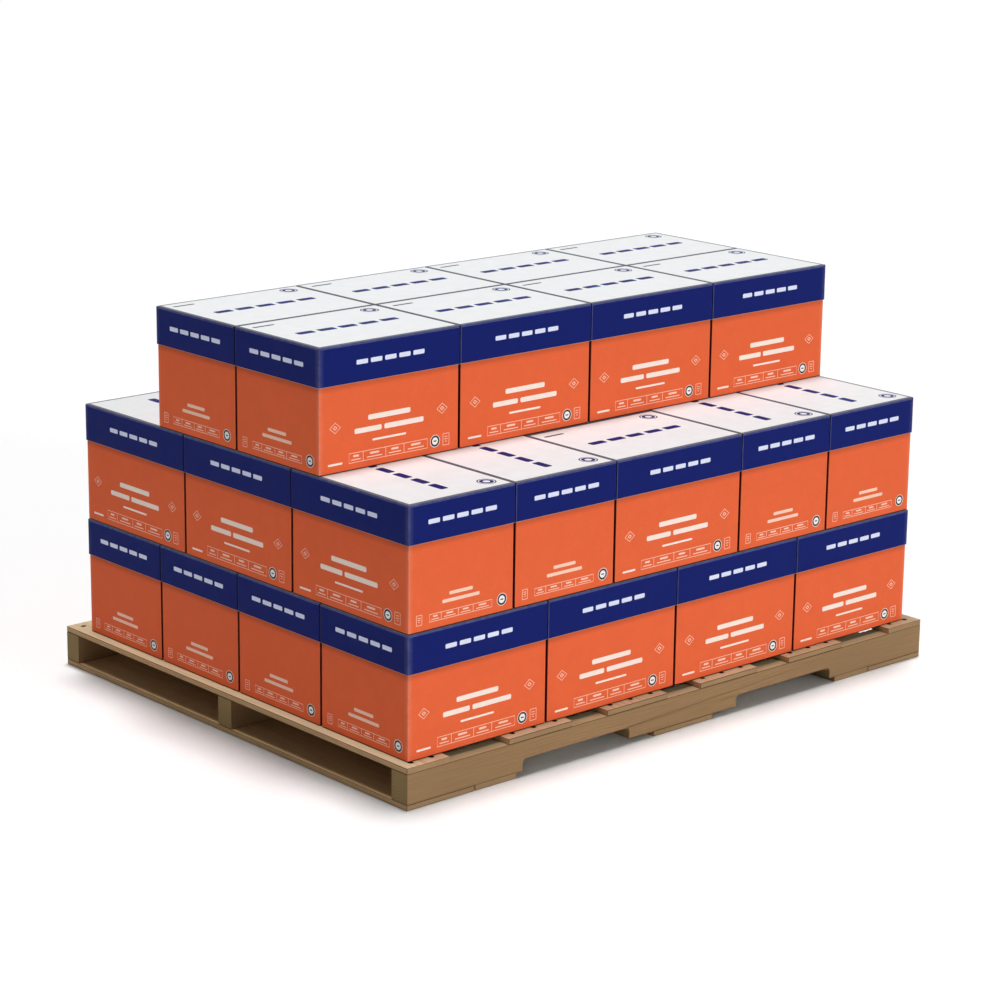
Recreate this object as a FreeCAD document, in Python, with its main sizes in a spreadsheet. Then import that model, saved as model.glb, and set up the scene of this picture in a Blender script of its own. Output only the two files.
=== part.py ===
import FreeCAD, Part
import math
import os

import Sketcher

# A full pallet of paper: a wooden stringer pallet with forty sealed cartons stacked on it
# in three tiers. X runs along the stringers, Y along the deck boards and Z is up.
# The origin is on the floor, under the middle of the pallet. Sizes are in millimetres.
SIZES = {
    # sawn timber of the pallet
    "pallet_length": 1219,
    "pallet_depth": 950,
    "board_thick": 9.5,
    "wide_board": 140,
    "narrow_board": 89,
    "board_space": 78,
    "butt_gap": 1,
    "stringer_tall": 51,
    "stringer_wide": 38,
    # fork notches, sawn into the underside of each stringer
    "notch_inset": 244,
    "notch_length": 237,
    "notch_deep": 20,
    "notch_radius": 8,
    # one carton, measured over its lid
    "carton_long": 293,
    "carton_short": 219.5,
    "carton_tall": 208,
    "lid_deep": 65,
    "lid_step": 1.5,
    "fold_bevel": 2,
    # how the cartons stand on the deck
    "carton_gap": 1,
    "left_margin": 17,
    "front_margin": 18.5,
}

doc = FreeCAD.newDocument("pallet_load")
sheet = doc.addObject("Spreadsheet::Sheet", "Sizes")
for row, (alias, value) in enumerate(SIZES.items(), start=1):
    sheet.set(f"A{row}", alias)
    sheet.set(f"B{row}", str(value))
    sheet.setAlias(f"B{row}", alias)
doc.recompute()

pieces = []


# Sketches, and what turns them into solids
def own_plane(body, role):
    return next(plane for plane in body.Origin.OriginFeatures if plane.Role == role)


def sketch_on(body, role, lift="0", rise="0"):
    """A sketch on one of the body's planes: lifted off it, and raised within it."""
    sketch = body.newObject("Sketcher::SketchObject", body.Name + "_sketch")
    sketch.AttachmentSupport = (own_plane(body, role), "")
    sketch.MapMode = "FlatFace"
    sketch.setExpression("AttachmentOffset.Base.y", rise)
    sketch.setExpression("AttachmentOffset.Base.z", lift)
    return sketch


def rule(sketch, *constraint):
    return sketch.addConstraint(Sketcher.Constraint(*constraint))


def bind(sketch, name, expression, *constraint):
    """A dimension of a sketch, tied to the sheet."""
    sketch.renameConstraint(rule(sketch, *constraint), name)
    sketch.setExpression("Constraints." + name, expression)


def line(sketch, start, end):
    ends = [FreeCAD.Vector(x, y, 0) for x, y in (start, end)]
    sketch.addGeometry(Part.LineSegment(*ends), False)


def arc(sketch, centre, radius, quarter):
    """A quarter turn, anticlockwise, that begins at quarter times 90 degrees."""
    circle = Part.Circle(FreeCAD.Vector(*centre, 0), FreeCAD.Vector(0, 0, 1), radius)
    start = quarter * math.pi / 2
    sketch.addGeometry(Part.ArcOfCircle(circle, start, start + math.pi / 2), False)


def square_up(sketch, level, upright):
    """Keeps some lines of a sketch level and others upright."""
    for side in level:
        rule(sketch, "Horizontal", side)
    for side in upright:
        rule(sketch, "Vertical", side)


def rectangle(sketch, width, height):
    """A plain rectangle about the sketch's origin."""
    x, y = 50, 20
    corners = [(-x, -y), (x, -y), (x, y), (-x, y)]
    for i in range(4):
        line(sketch, corners[i], corners[(i + 1) % 4])
    for i in range(4):
        rule(sketch, "Coincident", i, 2, (i + 1) % 4, 1)
    square_up(sketch, level=(0, 2), upright=(1, 3))
    rule(sketch, "Symmetric", 0, 1, 2, 1, -1, 1)
    bind(sketch, "width", width, "DistanceX", 0, 1, 0, 2, 2 * x)
    bind(sketch, "height", height, "DistanceY", 1, 1, 1, 2, 2 * y)


def pad(body, sketch, length):
    feature = body.newObject("PartDesign::Pad", body.Name + "_pad")
    feature.Profile = sketch
    feature.setExpression("Length", length)
    return feature


def place(piece, x, y, z):
    """Ties a piece's place to the sheet and adds it to the finished pieces."""
    for axis, expression in (("x", x), ("y", y), ("z", z)):
        piece.setExpression("Placement.Base." + axis, expression)
    piece.Label = piece.Name
    pieces.append(piece)


# Stringers: three planks on edge. Each has two notches sawn into its underside, with
# rounded upper corners, so that forks can also enter from the long sides.
def notch(sketch):
    """The notch nearer +X: across below the plank, up, over the top and down again."""
    left, right, top, below, r = 130, 360, 20, 5, 8
    line(sketch, (left, -below), (right, -below))
    line(sketch, (right, -below), (right, top - r))
    arc(sketch, (right - r, top - r), r, 0)
    line(sketch, (right - r, top), (left + r, top))
    arc(sketch, (left + r, top - r), r, 1)
    line(sketch, (left, top - r), (left, -below))
    rule(sketch, "Coincident", 5, 2, 0, 1)
    rule(sketch, "Coincident", 0, 2, 1, 1)
    for i in range(1, 5):
        rule(sketch, "Tangent", i, 2, i + 1, 1)
    square_up(sketch, level=(0, 3), upright=(1, 5))
    rule(sketch, "Equal", 2, 4)
    inner_end = "Sizes.pallet_length / 2 - Sizes.notch_inset - Sizes.notch_length"
    bind(sketch, "inner_end", inner_end, "DistanceX", -1, 1, 0, 1, left)
    bind(sketch, "length", "Sizes.notch_length", "DistanceX", 0, 1, 0, 2, right - left)
    bind(sketch, "deep", "Sizes.notch_deep", "DistanceY", -1, 1, 3, 1, top)
    bind(sketch, "below", "Sizes.board_thick / 2", "DistanceY", 0, 1, -1, 1, below)
    bind(sketch, "radius", "Sizes.notch_radius", "Radius", 2, r)


def stringer(name, middle_y):
    body = doc.addObject("PartDesign::Body", name)
    side = sketch_on(body, "XZ_Plane", rise="Sizes.stringer_tall / 2")
    rectangle(side, "Sizes.pallet_length", "Sizes.stringer_tall")
    pad(body, side, "Sizes.stringer_wide")

    saw_cut = body.newObject("PartDesign::Pocket", name + "_notch")
    saw_cut.Profile = sketch_on(body, "XZ_Plane")
    notch(saw_cut.Profile[0])
    saw_cut.Type = "ThroughAll"
    saw_cut.Reversed = True

    other_notch = body.newObject("PartDesign::Mirrored", name + "_notches")
    other_notch.Originals = [saw_cut]
    other_notch.MirrorPlane = (own_plane(body, "YZ_Plane"), [""])
    body.Tip = other_notch
    place(body, "0", f"{middle_y} + Sizes.stringer_wide / 2", "Sizes.board_thick")


outer_stringer = "(Sizes.pallet_depth - Sizes.stringer_wide) / 2"
stringer("stringer_front", f"-{outer_stringer}")
stringer("stringer_middle", "0")
stringer("stringer_back", outer_stringer)


# Deck boards: sawn planks laid across the stringers, wide ones between narrow ends on top.
# Below, each end has a wide board with a narrow one butted to it, and one wide board
# stands in the middle.
def board(name, width, middle_x, bottom_z):
    plank = doc.addObject("Part::Box", name)
    plank.setExpression("Length", width)
    plank.setExpression("Width", "Sizes.pallet_depth")
    plank.setExpression("Height", "Sizes.board_thick")
    place(plank, f"{middle_x} - {width} / 2", "-Sizes.pallet_depth / 2", bottom_z)


deck_bottom = "Sizes.board_thick + Sizes.stringer_tall"
end_board = "(Sizes.pallet_length - Sizes.narrow_board) / 2"
board("top_end_board_left", "Sizes.narrow_board", f"-{end_board}", deck_bottom)
board("top_end_board_right", "Sizes.narrow_board", end_board, deck_bottom)
for number, steps in enumerate((-1.5, -0.5, 0.5, 1.5), start=1):
    middle_x = f"{steps} * (Sizes.wide_board + Sizes.board_space)"
    board(f"top_board_{number}", "Sizes.wide_board", middle_x, deck_bottom)

lead_board = "(Sizes.pallet_length - Sizes.wide_board) / 2"
butted_board = "(Sizes.pallet_length / 2 - Sizes.wide_board - Sizes.butt_gap - Sizes.narrow_board / 2)"
for side, sign in (("left", "-"), ("right", "")):
    board(f"bottom_end_board_{side}", "Sizes.wide_board", sign + lead_board, "0")
    board(f"bottom_inner_board_{side}", "Sizes.narrow_board", sign + butted_board, "0")
board("bottom_middle_board", "Sizes.wide_board", "0", "0")


# Cartons: a folded board tray with a deep lid telescoped over it, filled with reams and
# sealed, so each is one solid. The lid stands a board's thickness proud of the tray, and
# each fold of the board is a narrow flat along its edge.
def flatten_folds(body, feature, above, rim=False):
    """Bevels the upright edges above a height, and on request those round the top."""
    doc.recompute([body])
    folds = []
    for number, edge in enumerate(feature.Shape.Edges, start=1):
        if edge.BoundBox.ZLength > edge.Length / 2 and edge.CenterOfMass.z > above:
            folds.append(f"Edge{number}")
    if rim:
        heights = [face.CenterOfMass.z for face in feature.Shape.Faces]
        folds.append(f"Face{heights.index(max(heights)) + 1}")
    bevel = body.newObject("PartDesign::Chamfer", body.Name + "_folds")
    bevel.Base = (feature, folds)
    bevel.setExpression("Size", "Sizes.fold_bevel")
    body.Tip = bevel


def carton(name, turned, x, y, tier):
    body = doc.addObject("PartDesign::Body", name)
    tray_height = "Sizes.carton_tall - Sizes.lid_deep"
    tray_long = "Sizes.carton_long - 2 * Sizes.lid_step"
    tray_short = "Sizes.carton_short - 2 * Sizes.lid_step"
    tray = sketch_on(body, "XY_Plane")
    rectangle(tray, tray_long, tray_short)
    flatten_folds(body, pad(body, tray, tray_height), above=0)

    lid = sketch_on(body, "XY_Plane", lift=tray_height)
    rectangle(lid, "Sizes.carton_long", "Sizes.carton_short")
    lid_bottom = SIZES["carton_tall"] - SIZES["lid_deep"]
    flatten_folds(body, pad(body, lid, "Sizes.lid_deep"), above=lid_bottom, rim=True)

    if turned:
        body.Placement.Rotation = FreeCAD.Rotation(FreeCAD.Vector(0, 0, 1), 90)
    bottom_z = f"2 * Sizes.board_thick + Sizes.stringer_tall + {tier} * Sizes.carton_tall"
    place(body, x, y, bottom_z)


# The stack: along either side, four cartons on their short pitch take the room of three on
# their long pitch. The middle tier is turned against the bottom one, and binds it.
long_pitch = "(Sizes.carton_long + Sizes.carton_gap)"
short_pitch = "(Sizes.carton_short + Sizes.carton_gap)"
stack_left = "Sizes.left_margin - Sizes.pallet_length / 2"
stack_front = "Sizes.front_margin - Sizes.pallet_depth / 2"


def along(start, steps_long, steps_short, size):
    """The middle of a carton that lies some long and some short pitches from a start."""
    return f"{start} + {steps_long} * {long_pitch} + {steps_short} * {short_pitch} + {size} / 2"


def straight(name, x, row, tier):
    """A carton with its long side along X."""
    y = along(stack_front, 0, row, "Sizes.carton_short")
    carton(name, False, x, y, tier)


for column in range(4):
    x = along(stack_left, column, 0, "Sizes.carton_long")
    for row in range(4):
        straight(f"carton_bottom_c{column + 1}_r{row + 1}", x, row, 0)
    for row in (1, 2):
        straight(f"carton_top_c{column + 1}_r{row}", x, row, 2)

for row in range(4):
    x = along(stack_left, 0, 2, "Sizes.carton_long")
    straight(f"carton_middle_c3_r{row + 1}", x, row, 1)
for column, steps_long, steps_short in ((1, 0, 0), (2, 0, 1), (4, 1, 2), (5, 1, 3)):
    x = along(stack_left, steps_long, steps_short, "Sizes.carton_short")
    for row in range(3):
        y = along(stack_front, row, 0, "Sizes.carton_long")
        carton(f"carton_middle_c{column}_r{row + 1}", True, x, y, 1)


# Every piece must be sound before any of them is written
doc.recompute()
failed = [obj.Name for obj in doc.Objects if {"Invalid", "Error"} & set(obj.State)]
for piece in pieces:
    if piece.Shape.isNull() or not piece.Shape.isValid():
        failed.append(piece.Label)
if failed:
    raise RuntimeError("not built: " + ", ".join(failed))

os.makedirs("parts", exist_ok=True)
for piece in pieces:
    piece.Shape.exportStep(f"parts/{piece.Label}.step")
print(len(pieces), "pieces written")
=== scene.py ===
"""The looks of a full pallet of paper: sawn pine below, printed cartons with deep lids above."""

import math
import random

import bpy
from mathutils import Matrix, Vector
from mathutils.geometry import delaunay_2d_cdt


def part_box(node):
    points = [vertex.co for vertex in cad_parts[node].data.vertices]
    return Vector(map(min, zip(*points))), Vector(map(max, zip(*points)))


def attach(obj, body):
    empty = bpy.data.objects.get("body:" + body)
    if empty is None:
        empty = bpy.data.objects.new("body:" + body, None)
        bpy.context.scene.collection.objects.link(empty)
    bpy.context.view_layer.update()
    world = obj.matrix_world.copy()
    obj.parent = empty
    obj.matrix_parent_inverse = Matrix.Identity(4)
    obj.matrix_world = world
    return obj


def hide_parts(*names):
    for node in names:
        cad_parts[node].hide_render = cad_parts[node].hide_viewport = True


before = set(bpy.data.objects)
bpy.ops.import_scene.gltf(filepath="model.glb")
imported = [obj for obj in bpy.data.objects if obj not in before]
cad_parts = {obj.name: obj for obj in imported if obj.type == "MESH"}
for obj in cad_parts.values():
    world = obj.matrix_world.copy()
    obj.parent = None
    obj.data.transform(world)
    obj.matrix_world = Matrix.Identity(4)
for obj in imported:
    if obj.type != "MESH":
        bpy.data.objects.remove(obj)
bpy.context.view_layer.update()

# Stringers and boards
# Planks of pine, sawn to size, dried and left rough: three stringers on edge along X, and boards nailed
# across them along Y. Their own solids carry the shape, and handling has bruised the arrises.
timber = {name: node for name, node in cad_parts.items() if not name.startswith("carton")}


def linear(code):
    """An sRGB hex colour as the linear colour that a shader takes."""
    shares = [int(code[place:place + 2], 16) / 255 for place in (1, 3, 5)]
    return tuple(s / 12.92 if s <= 0.04045 else ((s + 0.055) / 1.055) ** 2.4 for s in shares) + (1.0,)


def tinted(colour, shares):
    """A linear colour with its red, green and blue multiplied."""
    return tuple(min(1.0, c * s) for c, s in zip(colour, shares)) + (1.0,)


def add_node(tree, kind, feeds, **settings):
    """One node with its settings. A feed is a value, or the socket that drives that input."""
    made = tree.nodes.new("ShaderNode" + kind)
    for name, value in settings.items():
        setattr(made, name, value)
    for name, value in feeds.items():
        if isinstance(value, bpy.types.NodeSocket):
            tree.links.new(value, made.inputs[name])
        else:
            made.inputs[name].default_value = value
    return made


def empty_material(name):
    """A new material, its emptied tree, and the place on the object in metres as a socket."""
    material = bpy.data.materials.new(name)
    material.use_nodes = True
    material.node_tree.nodes.clear()
    place = add_node(material.node_tree, "TexCoord", {}).outputs["Object"]
    return material, material.node_tree, place


# The inputs and the output of a Mix node in its colour form
MIX_BY, MIX_FROM, MIX_TO, MIXED = 0, 6, 7, 2

WAVE_TURN = 2 * math.pi / 20  # a Wave texture of scale 1 repeats this often
RING_PITCH = 0.0055  # growth rings about 3 mm apart are drawn wider, to show from 5 m away
FIBRE_WIDE = 0.0028  # likewise fibre streaks, really under 1 mm
FIBRE_LONG = 0.090
SAW_PITCH = 0.009  # marks of the band saw's teeth across a plank
SAW_DEEP = 0.0006  # how deep they and the fibre are
WANDER = 0.085  # how far the rings stray from circles
WANDER_ACROSS, WANDER_ALONG = 7, 1.6  # and how often they do, in times per metre
TONE_PACE = 1.9  # the wood's tone changes this many times as often
KNOTS_ACROSS, KNOTS_ALONG, KNOTS_UP = 7.5, 3.4, 3.0  # cells per metre that may hold a knot
KNOT_HEART, KNOT_RIM = 0.06, 0.11  # where a knot's dark heart ends and where its rim has faded, in cells
NO_KNOT = 0.80  # the share of the cells that have none
KNOT_BROWN = "#5E3F24"
PITH_ASIDE = 0.05  # how far the pith may lie to either side of a plank's middle
PITH_BELOW = (0.03, 0.09)  # and how far below it
PITH_ALONG = 3  # and along it, so that no two planks have one figure
LATE_WOOD = (0.76, 0.66, 0.52)  # the dark part of a ring against the pale part, in red, green and blue

# How much paler the upward faces are painted in red, green and blue, a painted light on the tops: those of
# the deck, of the stringers in the gaps between its boards, and of the lower boards, which lie in shade
DECK_TOP_LIGHT, GAP_TOP_LIGHT, NO_TOP_LIGHT = (1.32, 1.60, 1.96), (1.75, 2.23, 2.70), (1.0, 1.0, 1.0)


def sawn_pine(name, along, centre, face, end, top_light, dice):
    """Rough-sawn pine. Rings round a pith outside the plank give flame figure on the faces and arcs on
    the ends, dry and matt, with fibre streaks, a few knots, and ends that drank more dust. Upward faces
    are painted paler, a painted light on the tops."""
    material, tree, place = empty_material(name)
    across = Vector((0, 1, 0)) if along == "X" else Vector((1, 0, 0))
    down = Vector((1, 0, 0)) if along == "X" else Vector((0, 1, 0))
    upright = Vector((0, 0, 1))
    pith = centre + across * dice.uniform(-PITH_ASIDE, PITH_ASIDE) - upright * dice.uniform(*PITH_BELOW)
    pith += down * dice.uniform(-PITH_ALONG, PITH_ALONG)
    local = add_node(tree, "VectorMath", {0: place, 1: pith}, operation="SUBTRACT").outputs[0]

    pace = across * WANDER_ACROSS + down * WANDER_ALONG + upright * WANDER_ACROSS
    slow = add_node(tree, "VectorMath", {0: local, 1: pace}, operation="MULTIPLY").outputs[0]
    stray = add_node(tree, "TexNoise", {"Vector": slow, "Scale": 1.0, "Detail": 1.5}).outputs["Color"]
    stray = add_node(tree, "VectorMath", {0: stray, 1: (0.5, 0.5, 0.5)}, operation="SUBTRACT").outputs[0]
    bent = add_node(
        tree, "VectorMath", {0: stray, 1: (WANDER, WANDER, WANDER), 2: local}, operation="MULTIPLY_ADD"
    ).outputs[0]
    rings = add_node(
        tree, "TexWave", {"Vector": bent, "Scale": WAVE_TURN / RING_PITCH, "Distortion": 0.0},
        wave_type="RINGS", rings_direction=along, wave_profile="SAW",
    ).outputs["Fac"]
    late = add_node(
        tree, "MapRange", {"Value": rings, "From Min": 0.35, "From Max": 0.95},
        interpolation_type="SMOOTHSTEP",
    ).outputs[0]

    pace = across / FIBRE_WIDE + down / FIBRE_LONG + upright / FIBRE_WIDE
    fine = add_node(tree, "VectorMath", {0: local, 1: pace}, operation="MULTIPLY").outputs[0]
    fibre = add_node(tree, "TexNoise", {"Vector": fine, "Scale": 1.0, "Detail": 2.0}).outputs["Fac"]
    tone = add_node(tree, "TexNoise", {"Vector": slow, "Scale": TONE_PACE, "Detail": 2.0}).outputs["Fac"]

    pace = across * KNOTS_ACROSS + down * KNOTS_ALONG + upright * KNOTS_UP
    knot_place = add_node(tree, "VectorMath", {0: local, 1: pace}, operation="MULTIPLY").outputs[0]
    cell = add_node(tree, "TexVoronoi", {"Vector": knot_place, "Scale": 1.0, "Randomness": 1.0})
    chance = add_node(tree, "SeparateColor", {"Color": cell.outputs["Color"]}).outputs[0]
    chosen = add_node(tree, "Math", {0: chance, 1: NO_KNOT}, operation="GREATER_THAN").outputs[0]
    knot = add_node(
        tree, "MapRange",
        {
            "Value": cell.outputs["Distance"], "From Min": KNOT_HEART, "From Max": KNOT_RIM,
            "To Min": 1.0, "To Max": 0.0,
        },
        interpolation_type="SMOOTHSTEP",
    ).outputs[0]
    knot = add_node(tree, "Math", {0: knot, 1: chosen}, operation="MULTIPLY").outputs[0]

    normal = add_node(tree, "NewGeometry", {}).outputs["Normal"]
    towards = add_node(tree, "SeparateXYZ", {"Vector": normal})
    end_on = add_node(tree, "Math", {0: towards.outputs[along]}, operation="ABSOLUTE").outputs[0]
    end_on = add_node(tree, "MapRange", {"Value": end_on, "From Min": 0.75, "From Max": 0.9}).outputs[0]
    upward = add_node(
        tree, "MapRange", {"Value": towards.outputs["Z"], "From Min": 0.7, "From Max": 0.95}
    ).outputs[0]

    early_wood = linear(face)
    late_wood = tinted(early_wood, LATE_WOOD)
    # upward faces are painted paler: painted light on the tops
    painted_top = tinted(early_wood, top_light)
    base = add_node(
        tree, "Mix", {MIX_BY: upward, MIX_FROM: early_wood, MIX_TO: painted_top}, data_type="RGBA"
    ).outputs[MIXED]
    base = add_node(
        tree, "Mix", {MIX_BY: end_on, MIX_FROM: base, MIX_TO: linear(end)}, data_type="RGBA"
    ).outputs[MIXED]
    # rings stand out in some stretches and fade in others
    depth = add_node(
        tree, "MapRange", {"Value": tone, "From Min": 0.35, "From Max": 0.65, "To Min": 0.08, "To Max": 0.36}
    ).outputs[0]
    late = add_node(tree, "Math", {0: late, 1: depth}, operation="MULTIPLY").outputs[0]
    base = add_node(
        tree, "Mix", {MIX_BY: late, MIX_FROM: base, MIX_TO: late_wood}, data_type="RGBA"
    ).outputs[MIXED]
    base = add_node(
        tree, "Mix", {MIX_BY: knot, MIX_FROM: base, MIX_TO: linear(KNOT_BROWN)}, data_type="RGBA"
    ).outputs[MIXED]
    streak = add_node(
        tree, "MapRange", {"Value": fibre, "From Min": 0.3, "From Max": 0.7, "To Min": 0.90, "To Max": 1.07}
    ).outputs[0]
    patch = add_node(
        tree, "MapRange", {"Value": tone, "From Min": 0.3, "From Max": 0.7, "To Min": 0.92, "To Max": 1.07}
    ).outputs[0]
    shade = add_node(tree, "Math", {0: streak, 1: patch}, operation="MULTIPLY").outputs[0]
    colour = add_node(tree, "VectorMath", {0: base, "Scale": shade}, operation="SCALE").outputs[0]

    saw_marks = add_node(
        tree, "TexWave",
        {
            "Vector": bent, "Scale": WAVE_TURN / SAW_PITCH,
            "Distortion": 2.0, "Detail": 1.0, "Detail Scale": 0.5,
        },
        wave_type="BANDS", bands_direction=along,
    ).outputs["Fac"]
    relief = add_node(tree, "Math", {0: saw_marks, 1: 0.35, 2: fibre}, operation="MULTIPLY_ADD").outputs[0]
    bump = add_node(tree, "Bump", {"Height": relief, "Strength": 0.5, "Distance": SAW_DEEP}).outputs[0]
    rough = add_node(
        tree, "MapRange", {"Value": fibre, "From Min": 0.3, "From Max": 0.7, "To Min": 0.72, "To Max": 0.90}
    ).outputs[0]
    shader = add_node(
        tree, "BsdfPrincipled",
        {"Base Color": colour, "Roughness": rough, "Normal": bump, "IOR": 1.45, "Specular IOR Level": 0.25},
    )
    add_node(tree, "OutputMaterial", {"Surface": shader.outputs[0]})
    return material


GRIME_WIDE = 1 / 60  # patches of grime on an arris are about 17 mm long


def grimed_arris(name, code):
    """The sharp edges of the planks, bruised and darkened by forks and hands: a thin brown line."""
    material, tree, place = empty_material(name)
    grime = add_node(
        tree, "TexNoise", {"Vector": place, "Scale": 1 / GRIME_WIDE, "Detail": 3.0}
    ).outputs["Fac"]
    clean = linear(code)
    grimed = tinted(clean, (0.7, 0.7, 0.7))
    colour = add_node(
        tree, "Mix", {MIX_BY: grime, MIX_FROM: grimed, MIX_TO: clean}, data_type="RGBA"
    ).outputs[MIXED]
    shader = add_node(
        tree, "BsdfPrincipled", {"Base Color": colour, "Roughness": 0.85, "Specular IOR Level": 0.2}
    )
    add_node(tree, "OutputMaterial", {"Surface": shader.outputs[0]})
    return material


BRUISED = 0.0009  # how wide an arris is bruised
SAME_PLACE = 0.00001  # points of a solid's faces that lie this near are one
STRINGER_FACE, STRINGER_END = "#937653", "#8D7850"
BOARD_FACES, BOARD_END = ("#B6946C", "#B08E68", "#BB9A72", "#B39069"), "#977C5B"

dice = random.Random(48)
dark_arris = grimed_arris("bruised_pine_arris", "#6E5033")
for name in sorted(timber):
    low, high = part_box(name)
    plank = timber[name]
    if name.startswith("stringer"):
        along, face, end, top_light = "X", STRINGER_FACE, STRINGER_END, GAP_TOP_LIGHT
    else:
        along, face, end = "Y", dice.choice(BOARD_FACES), BOARD_END
        top_light = DECK_TOP_LIGHT if name.startswith("top") else NO_TOP_LIGHT
    wood = sawn_pine("sawn_pine_" + name, along, (low + high) / 2, face, end, top_light, dice)
    plank.data.materials.clear()
    plank.data.materials.append(wood)
    plank.data.materials.append(dark_arris)
    joined = plank.modifiers.new("joined_faces", "WELD")
    joined.merge_threshold = SAME_PLACE
    arris = plank.modifiers.new("bruised_arrises", "BEVEL")
    arris.width = BRUISED
    arris.segments = 1
    arris.limit_method = "ANGLE"
    arris.angle_limit = math.radians(40)
    arris.material = 1

# Nails
# Flat-headed steel nails, 11 mm across the head, driven flush: two in a narrow board and three in a
# wide one over the middle of each stringer.
NAIL_SIDES = 16
NAIL_EDGE = 0.0235  # from a board's side to its outer nails
NAIL_END = 0.019  # and from a board's end to its end nails
THREE_NAILS = 0.1  # a board wider than this has a third nail
RUST_WIDE = 1 / 420  # specks of rust are about 2.4 mm apart
# radius and depth below the wood's face, down the nail from its head
NAIL_PROFILE = (
    (0.0048, -0.00005), (0.0055, 0.0001), (0.0055, 0.0011),
    (0.0016, 0.0016), (0.0016, 0.038), (0.0002, 0.042),
)


def oiled_steel(name):
    """Bright wire drawn through oil: a dark grey metal with a dull sheen and brown specks of rust."""
    material, tree, place = empty_material(name)
    rust = add_node(tree, "TexNoise", {"Vector": place, "Scale": 1 / RUST_WIDE, "Detail": 3.0}).outputs["Fac"]
    rust = add_node(tree, "MapRange", {"Value": rust, "From Min": 0.5, "From Max": 0.65}).outputs[0]
    colour = add_node(
        tree, "Mix", {MIX_BY: rust, MIX_FROM: linear("#0C0B0A"), MIX_TO: linear("#1A120E")}, data_type="RGBA"
    ).outputs[MIXED]
    rough = add_node(tree, "MapRange", {"Value": rust, "To Min": 0.60, "To Max": 0.85}).outputs[0]
    shader = add_node(
        tree, "BsdfPrincipled",
        {"Base Color": colour, "Roughness": rough, "Metallic": 0.1, "Specular IOR Level": 0.06},
    )
    add_node(tree, "OutputMaterial", {"Surface": shader.outputs[0]})
    return material


def nail_spots(low, high):
    """Where a board's nails are driven: rows along it, over each stringer."""
    rows = [low.x + NAIL_EDGE, high.x - NAIL_EDGE]
    if high.x - low.x > THREE_NAILS:
        rows.append((low.x + high.x) / 2)
    return [(x, min(max(y, low.y + NAIL_END), high.y - NAIL_END)) for x in rows for y in stringer_lines]


def nails(name, boards, top):
    """All the nails of one deck. top is True for the upper deck, whose nails point down."""
    points, faces = [], []
    for board in boards:
        low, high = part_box(board)
        surface, way = (high.z, -1) if top else (low.z, 1)
        for x, y in nail_spots(low, high):
            first = len(points)
            for radius, depth in NAIL_PROFILE:
                for side in range(NAIL_SIDES):
                    turn = 2 * math.pi * side / NAIL_SIDES * -way
                    points.append((
                        x + radius * math.cos(turn), y + radius * math.sin(turn), surface + way * depth
                    ))
            for row in range(len(NAIL_PROFILE) - 1):
                for side in range(NAIL_SIDES):
                    a = first + row * NAIL_SIDES + side
                    b = first + row * NAIL_SIDES + (side + 1) % NAIL_SIDES
                    faces.append((a, a + NAIL_SIDES, b + NAIL_SIDES, b))
            faces.append(tuple(range(first, first + NAIL_SIDES)))
            last = len(points) - NAIL_SIDES
            faces.append(tuple(reversed(range(last, last + NAIL_SIDES))))
    mesh = bpy.data.meshes.new(name)
    mesh.from_pydata(points, [], faces)
    mesh.materials.append(steel)
    piece = bpy.data.objects.new(name, mesh)
    bpy.context.scene.collection.objects.link(piece)
    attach(piece, "root")


steel = oiled_steel("oiled_steel_nail")
stringers = [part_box("stringer_" + place) for place in ("front", "middle", "back")]
stringer_lines = [(low.y + high.y) / 2 for low, high in stringers]
nails("deck_nails", sorted(n for n in timber if n.startswith("top")), True)
nails("bottom_nails", sorted(n for n in timber if n.startswith("bottom")), False)

# Cartons
# Each is a tray of single-wall corrugated board under a deep lid of the same board, printed in flat
# inks and glued at the corners. The inks rub thin along the folds, which also get a painted highlight.
# Shade is painted in the slits between cartons and below the lid, whose lower edge is raw.
boxes = {name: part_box(name) for name in sorted(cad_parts) if name.startswith("carton")}
carton_low, carton_high = boxes["carton_bottom_c1_r1"]
LONG, SHORT, TALL = carton_high - carton_low
LID_DEEP = 0.065
LIP = TALL - LID_DEEP  # height of the lid's lower edge
BOARD = 0.0015  # the lid stands out from the tray by its board
FOLD = 0.0020  # outer radius of a fold
TIGHT = 0.0004  # and the least radius to which an upright fold narrows at the bottom and the top
FOLD_STEPS = 4
FLUTE = 0.0072  # pitch of the corrugation under the face
RIB_DEEP = 0.00012  # how far the flutes and the fibre show in the face
GRAIN_WIDE = 1 / 520  # the liner's fibre, really under 1 mm, is drawn about 2 mm wide to show
MOTTLE_WIDE = 1 / 38  # the ink lies thicker and thinner in patches of about 26 mm
PALE_PATCH_WIDE = 1 / 95  # worn ink and painted highlight come in patches of about 11 mm
APART = (3.1, 5.7, 2.3)  # the patterns on a carton are moved by up to this far, so that no two are alike
RAW_EDGE = 0.0006  # how high the lid's raw edge shows
RAW_ROUND = 0.0003  # and how much of it is rounded in
LID_SHADOW_REACH = 0.013  # a shadow is painted on the tray this far below the lid's edge, darkest just under it
TOP_FOLD_PALE = 0.0020  # how far the pale band below the lid's top fold reaches, worn ink and a painted highlight
OPEN_FOLD_PALE = 0.0090  # and the pale band beside an upright fold that stands open, worn ink and a painted highlight
TOP_EDGE_GREY = 0.0022  # the lid's top is painted grey this far in from its folds, a painted shade at the seam beside the next lid
OPEN_TOP_EDGE_GREY = 0.0050  # and this far where no other carton stands beside it
SLIT_DEEP = 0.012  # shade is painted on a wall this far into the slit beside the next carton
HAIR = 0.0001  # keeps a band's corners off its panel's edges, so that the shell stays closed


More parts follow.
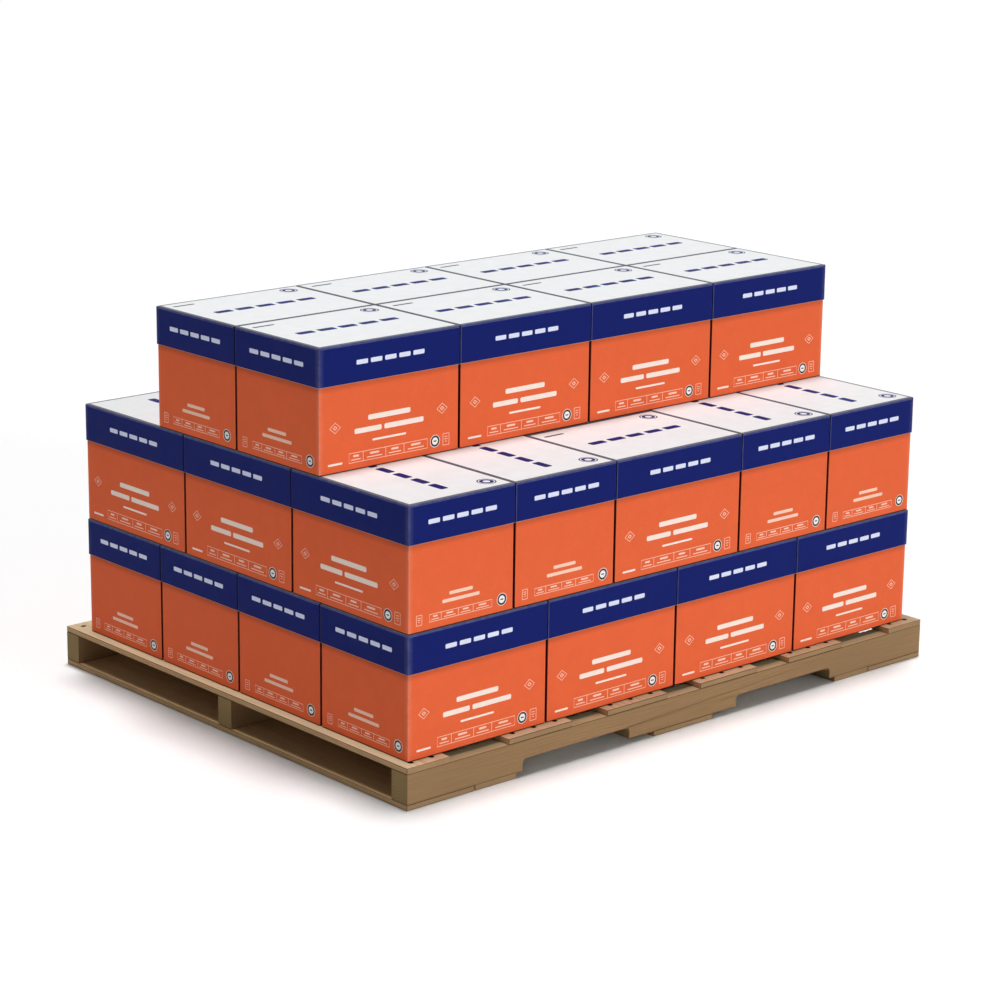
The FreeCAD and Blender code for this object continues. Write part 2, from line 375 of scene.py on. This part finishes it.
def printed_board(name, ink, bare, wear_and_highlight=0, fluted=False, lid_shadowed=False, fading=False):
    """Clay-coated liner printed in flat ink, over flutes: matt and even, with a faint mottle, a fine
    grain of fibre and upright ribs. The share of the bare colour that shows through is worn ink, and a
    painted highlight as well along the folds; a fading share is gone at the outer edge of the pale band
    beside the upright fold. An ink on the tray can also get a painted shadow below the lid's edge."""
    material, tree, place = empty_material(name)
    chance = add_node(tree, "ObjectInfo", {}).outputs["Random"]
    shift = add_node(tree, "VectorMath", {0: APART, "Scale": chance}, operation="SCALE").outputs[0]
    moved = add_node(tree, "VectorMath", {0: place, 1: shift}, operation="ADD").outputs[0]
    mottle = add_node(
        tree, "TexNoise", {"Vector": moved, "Scale": 1 / MOTTLE_WIDE, "Detail": 4.0}
    ).outputs["Fac"]
    grain = add_node(
        tree, "TexNoise", {"Vector": moved, "Scale": 1 / GRAIN_WIDE, "Detail": 2.0}
    ).outputs["Fac"]

    if wear_and_highlight:
        pale_patches = add_node(
            tree, "TexNoise", {"Vector": moved, "Scale": 1 / PALE_PATCH_WIDE, "Detail": 5.0, "Roughness": 0.65}
        ).outputs["Fac"]
        thin = add_node(
            tree, "MapRange",
            {
                "Value": pale_patches, "From Min": 0.35, "From Max": 0.75,
                "To Min": wear_and_highlight * 0.65, "To Max": wear_and_highlight * 1.35,
            },
        ).outputs[0]
    else:
        thin = add_node(
            tree, "MapRange", {"Value": grain, "From Min": 0.58, "From Max": 0.75, "To Max": 0.10}
        ).outputs[0]
    if fading:
        # on a wall, the larger of the two insets is the distance to the nearest upright fold
        size = add_node(tree, "VectorMath", {0: place}, operation="ABSOLUTE").outputs[0]
        half = (LONG / 2, SHORT / 2, 0)
        inset = add_node(tree, "VectorMath", {0: half, 1: size}, operation="SUBTRACT").outputs[0]
        inset = add_node(tree, "SeparateXYZ", {"Vector": inset}).outputs
        away = add_node(tree, "Math", {0: inset["X"], 1: inset["Y"]}, operation="MAXIMUM").outputs[0]
        left_over = add_node(
            tree, "MapRange",
            {"Value": away, "From Min": FOLD, "From Max": FOLD + OPEN_FOLD_PALE, "To Min": 1.0, "To Max": 0.0},
        ).outputs[0]
        thin = add_node(tree, "Math", {0: thin, 1: left_over}, operation="MULTIPLY").outputs[0]
    colour = add_node(
        tree, "Mix", {MIX_BY: thin, MIX_FROM: linear(ink), MIX_TO: linear(bare)}, data_type="RGBA"
    ).outputs[MIXED]
    shade = add_node(
        tree, "MapRange", {"Value": mottle, "From Min": 0.3, "From Max": 0.7, "To Min": 0.975, "To Max": 1.02}
    ).outputs[0]
    parts = add_node(tree, "SeparateXYZ", {"Vector": place}).outputs
    # a painted shadow darkens the tray towards the lid's edge
    if lid_shadowed:
        painted_lid_shadow = add_node(
            tree, "MapRange",
            {
                "Value": parts["Z"], "From Min": LIP - LID_SHADOW_REACH, "From Max": LIP,
                "To Min": 1.0, "To Max": 0.70,
            },
            interpolation_type="SMOOTHSTEP",
        ).outputs[0]
        shade = add_node(tree, "Math", {0: shade, 1: painted_lid_shadow}, operation="MULTIPLY").outputs[0]
    colour = add_node(tree, "VectorMath", {0: colour, "Scale": shade}, operation="SCALE").outputs[0]

    relief = grain
    if fluted:
        round_walls = add_node(tree, "Math", {0: parts["X"], 1: parts["Y"]}, operation="ADD").outputs[0]
        upright = add_node(tree, "CombineXYZ", {"X": round_walls}).outputs[0]
        flutes = add_node(
            tree, "TexWave", {"Vector": upright, "Scale": WAVE_TURN / FLUTE, "Distortion": 0.0},
            wave_type="BANDS", bands_direction="X",
        ).outputs["Fac"]
        relief = add_node(tree, "Math", {0: flutes, 1: 0.9, 2: grain}, operation="MULTIPLY_ADD").outputs[0]
    bump = add_node(tree, "Bump", {"Height": relief, "Strength": 0.35, "Distance": RIB_DEEP}).outputs[0]
    rough = add_node(
        tree, "MapRange", {"Value": mottle, "From Min": 0.3, "From Max": 0.7, "To Min": 0.50, "To Max": 0.60}
    ).outputs[0]
    shader = add_node(
        tree, "BsdfPrincipled",
        {"Base Color": colour, "Roughness": rough, "Normal": bump, "IOR": 1.45, "Specular IOR Level": 0.09},
    )
    add_node(tree, "OutputMaterial", {"Surface": shader.outputs[0]})
    return material


# On either ground, a fold is pale, worn ink with a painted highlight, a bend is a fold that keeps its
# ink, a rub is the same pale band beside a fold, and a shade is painted shade in the slit beside the
# next carton, and at a tray's foot. White print lets some of its ground through: it is blush over
# orange, more so in thin lines, and bluish over navy.
ORANGE, PALE_FOLD_ORANGE, NAVY, PALE_FOLD_NAVY = "#E46439", "#F5BBA4", "#081964", "#9A9DBC"
INKS = {
    "orange_ink": {"ink": ORANGE, "bare": "#F0B79C", "fluted": True, "lid_shadowed": True},
    "orange_rub_and_highlight": {
        "ink": ORANGE, "bare": PALE_FOLD_ORANGE, "wear_and_highlight": 0.17, "fluted": True, "lid_shadowed": True,
        "fading": True,
    },
    "orange_fold": {"ink": ORANGE, "bare": PALE_FOLD_ORANGE, "wear_and_highlight": 0.26, "lid_shadowed": True},
    "orange_bend": {"ink": ORANGE, "bare": PALE_FOLD_ORANGE, "wear_and_highlight": 0.06, "lid_shadowed": True},
    "orange_shade": {"ink": "#3A160E", "bare": "#4A1E14", "wear_and_highlight": 0.30, "lid_shadowed": True},
    "navy_ink": {"ink": NAVY, "bare": "#2A3274", "fluted": True},
    "navy_rub_and_highlight": {"ink": NAVY, "bare": PALE_FOLD_NAVY, "wear_and_highlight": 0.13, "fluted": True, "fading": True},
    "navy_fold": {"ink": NAVY, "bare": PALE_FOLD_NAVY, "wear_and_highlight": 0.20},
    "navy_bend": {"ink": NAVY, "bare": PALE_FOLD_NAVY, "wear_and_highlight": 0.02},
    "navy_shade": {"ink": "#04081E", "bare": "#10142C", "wear_and_highlight": 0.30},
    "lid_arris": {"ink": "#5C5D64", "bare": "#8C8D92", "wear_and_highlight": 0.25},
    "white_liner": {"ink": "#EEF0F1", "bare": "#DCDBD8"},
    "white_ink": {"ink": "#F4EFEA", "bare": "#F0C3AE", "fluted": True},
    "blush_ink": {"ink": "#F8E8DC", "bare": "#F0C3AE", "fluted": True},
    "thin_blush_ink": {"ink": "#F8CFB9", "bare": "#F0B79C", "fluted": True},
    "pale_blue_ink": {"ink": "#DDE3F7", "bare": "#A9B2DC", "fluted": True},
    "grey_ink": {"ink": "#33373D", "bare": "#6A6D70", "fluted": True},
    "kraft_liner": {"ink": "#A98259", "bare": "#8F6B45"},
    "raw_edge": {"ink": "#B9A48C", "bare": "#8F7B66"},
}
INK_ORDER = list(INKS)
ROUNDED = ("orange_fold", "orange_bend", "orange_shade", "navy_fold", "navy_bend", "navy_shade", "lid_arris")
inks = {name: printed_board(name, **facts) for name, facts in INKS.items()}

ARC_STEPS = 4  # in a bar's rounded corner
DISC_SIDES = 28
RULE = 0.0009  # how wide a printed rule is
BOLD, SMALL, FINE = 0.0085, 0.0056, 0.0034  # heights of the bars on the trays
SEAL = 0.0104  # radius of the round seal
RAIL_BARS = 5


def bar(x, z, wide, high, ink, rounding=1.0):
    """A bar about (x, z), its corners rounded by a share of half its height."""
    radius = high / 2 * rounding
    if not radius:
        left, right, low, top = x - wide / 2, x + wide / 2, z - high / 2, z + high / 2
        return [(left, low), (right, low), (right, top), (left, top)], ink
    points = []
    for quarter, (sx, sz) in enumerate(((1, -1), (1, 1), (-1, 1), (-1, -1))):
        for step in range(ARC_STEPS + 1):
            turn = math.pi / 2 * (quarter - 1 + step / ARC_STEPS)
            points.append((
                x + sx * (wide / 2 - radius) + radius * math.cos(turn),
                z + sz * (high / 2 - radius) + radius * math.sin(turn),
            ))
    # where the ends are full rounds, two corners share a point
    kept = [p for k, p in enumerate(points) if math.dist(p, points[k - 1]) > 1e-6]
    return kept, ink


def disc(x, z, radius, ink):
    """A round spot about (x, z)."""
    turns = [2 * math.pi * k / DISC_SIDES for k in range(DISC_SIDES)]
    return [(x + radius * math.cos(turn), z + radius * math.sin(turn)) for turn in turns], ink


def lozenge(x, z, wide, high, ink):
    """A square on its corner, flattened."""
    return [(x - wide / 2, z), (x, z - high / 2), (x + wide / 2, z), (x, z + high / 2)], ink


def rail(x, z, wide, pieces, high, gap, ink):
    """A broken stripe: equal bars in a row."""
    one = (wide - gap * (pieces - 1)) / pieces
    starts = [x - wide / 2 + k * (one + gap) for k in range(pieces)]
    return [bar(start + one / 2, z, one, high, ink, 0.45) for start in starts]


def badge(x, z, radius):
    """A plain round seal: pale rim, dark ring, pale middle and a short bar."""
    return [
        disc(x, z, radius, "white_ink"),
        disc(x, z, radius * 0.91, "grey_ink"),
        disc(x, z, radius * 0.60, "white_ink"),
        bar(x, z, radius * 0.62, radius * 0.2, "grey_ink"),
    ]


def facts_strip(left, right, low, high, splits):
    """A ruled box of cells, with two short bars in each."""
    deep, level = high - low, (low + high) / 2
    shapes = [bar((left + right) / 2, level, right - left, deep, "thin_blush_ink", 0)]
    edges = [left] + splits + [right]
    for start, end in zip(edges, edges[1:]):
        middle, wide = (start + end) / 2, end - start - RULE
        shapes += [
            bar(middle, level, wide, deep - 2 * RULE, "orange_ink", 0),
            bar(middle, low + deep * 0.66, wide * 0.42, deep * 0.20, "thin_blush_ink"),
            bar(middle, low + deep * 0.30, wide * 0.70, deep * 0.10, "thin_blush_ink"),
        ]
    return shapes


def sheet_mark(x, z, wide, high):
    """A sheet of paper in outline, with three lines on it."""
    shapes = [
        bar(x, z, wide, high, "thin_blush_ink", 0.1),
        bar(x, z, wide - 2 * RULE, high - 2 * RULE, "orange_ink", 0.05),
    ]
    for rise, share in ((0.22, 0.5), (0.02, 0.5), (-0.18, 0.3)):
        shapes.append(bar(x, z + high * rise, wide * share, RULE * 1.2, "thin_blush_ink"))
    return shapes


def corner_mark(x, z, wide):
    """An outlined lozenge with a smaller one inside."""
    high = wide * 0.8
    return [
        lozenge(x, z, wide, high, "thin_blush_ink"),
        lozenge(x, z, wide - 3.2 * RULE, high - 2.6 * RULE, "orange_ink"),
        lozenge(x, z, wide * 0.40, wide * 0.32, "thin_blush_ink"),
        lozenge(x, z, wide * 0.22, wide * 0.17, "orange_ink"),
    ]


def tray_print(wide, long_side):
    """What is printed on a tray wall, in metres from its lower left corner. Places and widths are given
    as shares of the wall."""
    if long_side:
        shapes = [
            bar(wide * 0.495, LIP * 0.575, wide * 0.30, BOLD, "blush_ink", 0.6),
            bar(wide * 0.345, LIP * 0.440, wide * 0.19, BOLD, "blush_ink", 0.6),
            bar(wide * 0.600, LIP * 0.440, wide * 0.28, BOLD, "blush_ink", 0.6),
            bar(wide * 0.495, LIP * 0.310, wide * 0.24, FINE, "blush_ink"),
            bar(wide * 0.115, LIP * 0.105, wide * 0.10, FINE, "blush_ink"),
        ]
        splits = [wide * share for share in (0.31, 0.47, 0.60)]
        shapes += facts_strip(wide * 0.21, wide * 0.77, LIP * 0.085, LIP * 0.20, splits)
        shapes += badge(wide * 0.825, LIP * 0.15, SEAL)
        shapes += sheet_mark(wide * 0.905, LIP * 0.15, 0.0140, 0.0200)
        for share in (0.115, 0.875):
            shapes += corner_mark(wide * share, LIP * 0.52, 0.0230)
        return shapes
    shapes = [
        bar(wide * 0.495, LIP * 0.370, wide * 0.22, SMALL, "thin_blush_ink", 0.6),
        bar(wide * 0.495, LIP * 0.290, wide * 0.35, SMALL, "thin_blush_ink", 0.6),
    ]
    splits = [wide * share for share in (0.31, 0.47, 0.61)]
    shapes += facts_strip(wide * 0.20, wide * 0.79, LIP * 0.090, LIP * 0.18, splits)
    shapes += badge(wide * 0.885, LIP * 0.15, SEAL)
    shapes += sheet_mark(wide * 0.105, LIP * 0.14, 0.0120, 0.0170)
    return shapes


def lid_print(wide, long_side):
    """A broken stripe along the middle of a lid wall, in metres from the carton's lower left corner."""
    share = 0.48 if long_side else 0.64
    return rail(wide / 2, TALL - LID_DEEP / 2, wide * share, RAIL_BARS, 0.0075, 0.0060, "pale_blue_ink")


def lid_top_print():
    """Seen from above, in metres from the middle: a broken stripe, a round stamp and a short bar."""
    stamp_x, stamp_y = LONG / 2 - 0.036, SHORT / 2 - 0.030
    return rail(0, 0, 0.208, RAIL_BARS, 0.0160, 0.0090, "navy_ink") + [
        disc(stamp_x, stamp_y, 0.0160, "navy_ink"),
        disc(stamp_x, stamp_y, 0.0138, "white_liner"),
        disc(stamp_x, stamp_y, 0.0118, "navy_ink"),
        disc(stamp_x, stamp_y, 0.0062, "white_liner"),
        bar(0.038 - LONG / 2, SHORT / 2 - 0.027, 0.044, 0.0060, "grey_ink"),
    ]


class Shell:
    """Gathers a carton's points and faces, each face with its ink."""

    def __init__(self):
        self.points, self.index, self.faces, self.inks, self.smooth = [], {}, [], [], []

    def point(self, place):
        """The number of a point. Points of one place, to a micrometre, are one."""
        key = tuple(round(c * 1e6) for c in place)
        if key not in self.index:
            self.index[key] = len(self.points)
            self.points.append(tuple(place))
        return self.index[key]

    def face(self, places, ink, smooth=False):
        """One face, left out where it has no area."""
        face = [self.point(p) for p in places]
        if len(set(face)) == len(face):
            self.faces.append(face)
            self.inks.append(INK_ORDER.index(ink))
            self.smooth.append(smooth)

    def flat(self, corner, along, up, outline, shapes, ink):
        """A flat panel with its print let in: corner is where the panel's own (0, 0) lies."""
        loops = [outline] + [loop for loop, _ in shapes]
        names = [ink] + [name for _, name in shapes]
        spots, rows = [], []
        for loop in loops:
            rows.append(list(range(len(spots), len(spots) + len(loop))))
            spots += [Vector(p) for p in loop]
        corners, _, triangles, _, _, sources = delaunay_2d_cdt(spots, [], rows, 1, 1e-7)
        for triangle, source in zip(triangles, sources):
            places = [corner + along * corners[k].x + up * corners[k].y for k in triangle]
            self.face(places, names[max(source)])


CORNERS = ((-1, -1), (1, -1), (1, 1), (-1, 1))  # anticlockwise from the front left


def ring(inset, radius, z, more=(0, 0, 0, 0)):
    """A rounded rectangle of the carton's plan at one height, anticlockwise from its front left corner.
    more is how much further in its front, right, back and left sides stand."""
    points = []
    for quarter, (sx, sy) in enumerate(CORNERS):
        a = LONG / 2 - inset - more[1 if sx > 0 else 3]
        b = SHORT / 2 - inset - more[2 if sy > 0 else 0]
        for step in range(FOLD_STEPS + 1):
            turn = math.pi / 2 * (quarter + 2 + step / FOLD_STEPS)
            points.append(Vector((
                sx * (a - radius) + radius * math.cos(turn), sy * (b - radius) + radius * math.sin(turn), z
            )))
    return points


def fold_ink(ink, before, after, step):
    """A fold between two open walls is pale, worn ink with a painted highlight. One beside a slit keeps its
    ink, and is painted in shade on the slit's side. before and after say whether its two walls stand
    open. A lid's fold gets a painted highlight at the left end of an open wall, as seen from outside, and a
    wider painted shade at the right end."""
    if before and after:
        return ink
    in_slit = (not before and step < FOLD_STEPS / 2) or (not after and step >= FOLD_STEPS / 2)
    if ink == "orange_fold":
        return "orange_shade" if in_slit else "orange_bend"
    if ink == "navy_fold" and before:
        return "navy_shade" if step else "navy_bend"
    return "navy_shade" if ink == "navy_fold" and in_slit else ink


def edge_bands(wide, high, tray, open_walls, side):
    """What darkens or pales a wall beside its upright folds: painted shade in a slit, and worn ink with a
    painted highlight on an open corner.
    """
    def band(start, end, ink):
        return bar((start + end) / 2, high / 2, end - start - 2 * HAIR, high - 2 * HAIR, ink, 0)

    if not open_walls[side]:
        ends = ((0, SLIT_DEEP), (wide - SLIT_DEEP, wide)) if tray else ()
        return [band(start, end, "orange_shade") for start, end in ends]
    pale_band_ink = "orange_rub_and_highlight" if tray else "navy_rub_and_highlight"
    bands = []
    if open_walls[side - 1]:
        bands.append(band(0, OPEN_FOLD_PALE, pale_band_ink))
    if open_walls[(side + 1) % 4]:
        bands.append(band(wide - OPEN_FOLD_PALE, wide, pale_band_ink))
    return bands


def carton_levels():
    """The levels of a carton from the bottom up. Each has its inset, its fold radius, its height, and the
    inks of the walls and of the upright folds above it."""
    turns = [math.pi / 2 * step / FOLD_STEPS for step in range(FOLD_STEPS + 1)]
    arc = [(math.sin(turn), math.cos(turn)) for turn in turns]
    levels = []
    # the tray's bottom fold is painted in shade, where it stands on the deck or on the lid below
    for sine, cosine in arc:
        inset, radius, height = BOARD + FOLD * (1 - sine), max(TIGHT, FOLD * sine), FOLD * (1 - cosine)
        levels.append((inset, radius, height, "orange_shade", "orange_shade"))
    levels[-1] = levels[-1][:3] + ("orange_ink", "orange_fold")
    levels += [
        (BOARD, FOLD, LIP, "raw_edge", "raw_edge"),
        (RAW_ROUND, FOLD - RAW_ROUND, LIP, "raw_edge", "raw_edge"),
        (0.0, FOLD, LIP + RAW_ROUND, "raw_edge", "raw_edge"),
        (0.0, FOLD, LIP + RAW_EDGE, "navy_ink", "navy_fold"),
        # a pale band below the top fold: worn ink and a painted highlight
        (0.0, FOLD, TALL - FOLD - TOP_FOLD_PALE, "navy_fold", "navy_fold"),
    ]
    for step, (sine, cosine) in enumerate(arc):
        inset, radius, height = FOLD * (1 - cosine), max(TIGHT, FOLD * cosine), TALL - FOLD + FOLD * sine
        # the top fold's lower half is pale, worn ink and a painted highlight; its upper half and a band of
        # the top beside it are painted grey, a painted shade at the seams between lids
        ink = "navy_fold" if step < FOLD_STEPS / 2 else "lid_arris"
        levels.append((inset, radius, height, ink, ink))
    levels.append((FOLD + TOP_EDGE_GREY, TIGHT, TALL, "white_liner", "white_liner"))
    return levels


def add_wall(shell, corner, far, high, side, wall, open_walls):
    """A printed wall of a tray or a lid, from its lower left corner to its lower right one."""
    wide = (far - corner).length
    long_side = side % 2 == 0
    full = LONG if long_side else SHORT
    tray = wall == "orange_ink"
    pattern = (tray_print if tray else lid_print)(full, long_side)
    start = (full - wide) / 2
    shapes = [([(x - start, z - corner.z) for x, z in loop], ink) for loop, ink in pattern]
    shapes += edge_bands(wide, high, tray, open_walls, side)
    outline = [(0, 0), (wide, 0), (wide, high), (0, high)]
    shell.flat(corner, (far - corner).normalized(), Vector((0, 0, 1)), outline, shapes, wall)


def carton_mesh(name, open_walls):
    """One closed shell: tray wall, raw edge, lid wall, folds and top, with the print let into its faces.
    open_walls says of the front, right, back and left wall whether no other carton stands against it."""
    shell = Shell()
    levels = carton_levels()
    rings = [ring(inset, radius, z) for inset, radius, z, _, _ in levels]
    more = [OPEN_TOP_EDGE_GREY - TOP_EDGE_GREY if is_open else 0 for is_open in open_walls]
    rings[-1] = ring(*levels[-1][:3], more)
    for below, above, (_, _, _, wall, fold) in zip(rings, rings[1:], levels):
        for k, corner in enumerate(below):
            after = (k + 1) % len(below)
            side, step = divmod(k, FOLD_STEPS + 1)
            straight = step == FOLD_STEPS
            if straight and wall in ("orange_ink", "navy_ink"):
                add_wall(shell, corner, below[after], above[k].z - corner.z, side, wall, open_walls)
                continue
            ink = wall if straight else fold_ink(fold, open_walls[side - 1], open_walls[side], step)
            shell.face((corner, below[after], above[after], above[k]), ink, ink in ROUNDED)
    top = [(p.x, p.y) for p in rings[-1]]
    middle, along, up = Vector((0, 0, TALL)), Vector((1, 0, 0)), Vector((0, 1, 0))
    shell.flat(middle, along, up, top, lid_top_print(), "white_liner")
    shell.face(list(reversed(rings[0])), "kraft_liner")
    mesh = bpy.data.meshes.new(name)
    mesh.from_pydata(shell.points, [], shell.faces)
    for ink in INK_ORDER:
        mesh.materials.append(inks[ink])
    mesh.polygons.foreach_set("material_index", shell.inks)
    mesh.polygons.foreach_set("use_smooth", shell.smooth)
    mesh.validate()
    return mesh


FRONT, RIGHT, BACK, LEFT = (0, -1), (1, 0), (0, 1), (-1, 0)
NEAR = 0.01  # a carton this near a wall covers it


def stands_open(low, high, way):
    """Whether no other carton of the tier is found just beyond the middle of a wall."""
    reach = Vector(((high.x - low.x) / 2 + NEAR, (high.y - low.y) / 2 + NEAR, 0))
    spot = (low + high) / 2 + Vector((way[0] * reach.x, way[1] * reach.y, 0))
    return not any(all(a < s < b for a, s, b in zip(start, spot, end)) for start, end in boxes.values())


carton_meshes = {}
for name, (low, high) in boxes.items():
    # the middle tier's outer columns stand with their long side along Y, their front to the left
    turned = high.y - low.y > high.x - low.x
    walls = (LEFT, FRONT, RIGHT, BACK) if turned else (FRONT, RIGHT, BACK, LEFT)
    open_walls = tuple(stands_open(low, high, way) for way in walls)
    if open_walls not in carton_meshes:
        carton_meshes[open_walls] = carton_mesh("printed_carton", open_walls)
    piece = bpy.data.objects.new("printed_" + name, carton_meshes[open_walls])
    bpy.context.scene.collection.objects.link(piece)
    piece.location = ((low.x + high.x) / 2, (low.y + high.y) / 2, low.z)
    piece.rotation_euler = (0, 0, -math.pi / 2 if turned else 0)
    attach(piece, "root")
    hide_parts(name)

# Studio
# A plain white floor. A soft light from above and a weaker one from the front light the load, so that
# its left faces lie in shade. A third lights the floor alone, from the back right, and lays the shadow.
FLOOR_REACH = 60.0
FLOOR_DROP = 0.0002  # just under the nails
FLOOR_BOUNCE = 0.78  # how much of its light the floor throws back onto the object
PATCH_WIDE = 1 / 3  # its paper is a little brighter and darker in patches of a third of a metre
AMBIENT = 0.18  # strength of the light from all round


def plain_floor(name):
    """Matt white paper: it keeps the shadow and is otherwise as bright as the background."""
    material, tree, place = empty_material(name)
    grain = add_node(
        tree, "TexNoise", {"Vector": place, "Scale": 1 / PATCH_WIDE, "Detail": 2.0}
    ).outputs["Fac"]
    level = add_node(tree, "MapRange", {"Value": grain, "To Min": 0.985, "To Max": 0.995}).outputs[0]
    seen = add_node(tree, "LightPath", {}).outputs["Is Camera Ray"]
    level = add_node(tree, "MapRange", {"Value": seen, "To Min": FLOOR_BOUNCE, "To Max": level}).outputs[0]
    matt = add_node(tree, "BsdfDiffuse", {"Color": level}).outputs[0]
    add_node(tree, "OutputMaterial", {"Surface": matt})
    return material


floor_mesh = bpy.data.meshes.new("studio_floor")
floor_corners = [(x * FLOOR_REACH, y * FLOOR_REACH, -FLOOR_DROP) for x, y in CORNERS]
floor_mesh.from_pydata(floor_corners, [], [(0, 1, 2, 3)])
floor_mesh.materials.append(plain_floor("white_floor"))
floor = bpy.data.objects.new("studio_floor", floor_mesh)
bpy.context.scene.collection.objects.link(floor)


def soft_lamp(name, strength, spread, towards, floor_link=None):
    """A broad even light from one direction. spread is how wide it looks, in degrees. floor_link is
    INCLUDE for a lamp that lights the floor alone, and EXCLUDE for one that lights all but the floor."""
    lamp = bpy.data.lights.new(name, "SUN")
    lamp.energy = strength * math.pi
    lamp.angle = math.radians(spread)
    holder = bpy.data.objects.new(name, lamp)
    bpy.context.scene.collection.objects.link(holder)
    holder.rotation_euler = Vector(towards).to_track_quat("-Z", "Y").to_euler()
    if floor_link:
        lit = bpy.data.collections.new(name + "_receivers")
        lit.objects.link(floor)
        lit.collection_objects[0].light_linking.link_state = floor_link
        holder.light_linking.receiver_collection = lit


soft_lamp("overhead_softbox", strength=0.74, spread=16, towards=(0.05, -0.035, -1), floor_link="EXCLUDE")
soft_lamp("floor_softbox", strength=0.82, spread=14, towards=(-0.105, -0.066, -1), floor_link="INCLUDE")
soft_lamp("front_softbox", strength=0.495, spread=14, towards=(-0.12, 0.98, -0.15))

# The world is white to the camera, in gloss and through glass, and a weak even light to the rest
world = bpy.data.worlds.new("studio")
bpy.context.scene.world = world
world.use_nodes = True
sky = world.node_tree
sky.nodes.clear()
ray = add_node(sky, "LightPath", {}).outputs
seen = add_node(
    sky, "Math", {0: ray["Is Camera Ray"], 1: ray["Is Glossy Ray"]}, operation="MAXIMUM"
).outputs[0]
seen = add_node(sky, "Math", {0: seen, 1: ray["Is Transmission Ray"]}, operation="MAXIMUM").outputs[0]
level = add_node(sky, "MapRange", {"Value": seen, "To Min": AMBIENT, "To Max": 1.0}).outputs[0]
glow = add_node(sky, "Background", {"Color": (1, 1, 1, 1), "Strength": level}).outputs[0]
add_node(sky, "OutputWorld", {"Surface": glow})

# Camera
# Found from the photograph's corners: a long lens, left of the pallet's front corner and looking down
# a little.
EYE = Vector((-3.3056, -3.6876, 1.6293))
YAW, PITCH, ROLL = math.radians(48.93), math.radians(14.24), math.radians(0.5)
SENSOR_WIDE = 36
FOCAL_SHARE = 2.8701  # focal length over the picture's width
ahead = Vector((math.cos(PITCH) * math.cos(YAW), math.cos(PITCH) * math.sin(YAW), -math.sin(PITCH)))
level_right = Vector((math.sin(YAW), -math.cos(YAW), 0))
level_up = level_right.cross(ahead)
right = level_right * math.cos(ROLL) + level_up * math.sin(ROLL)
up = level_up * math.cos(ROLL) - level_right * math.sin(ROLL)
camera_data = bpy.data.cameras.new("camera")
camera_data.sensor_width = SENSOR_WIDE
camera_data.lens = SENSOR_WIDE * FOCAL_SHARE
camera_data.shift_x = 0.04
camera_data.shift_y = -0.04
camera_data.clip_end = 200
camera = bpy.data.objects.new("camera", camera_data)
bpy.context.scene.collection.objects.link(camera)
camera.matrix_world = Matrix.Translation(EYE) @ Matrix((right, up, -ahead)).transposed().to_4x4()
bpy.context.scene.camera = camera
bpy.context.scene.view_settings.view_transform = "Standard"
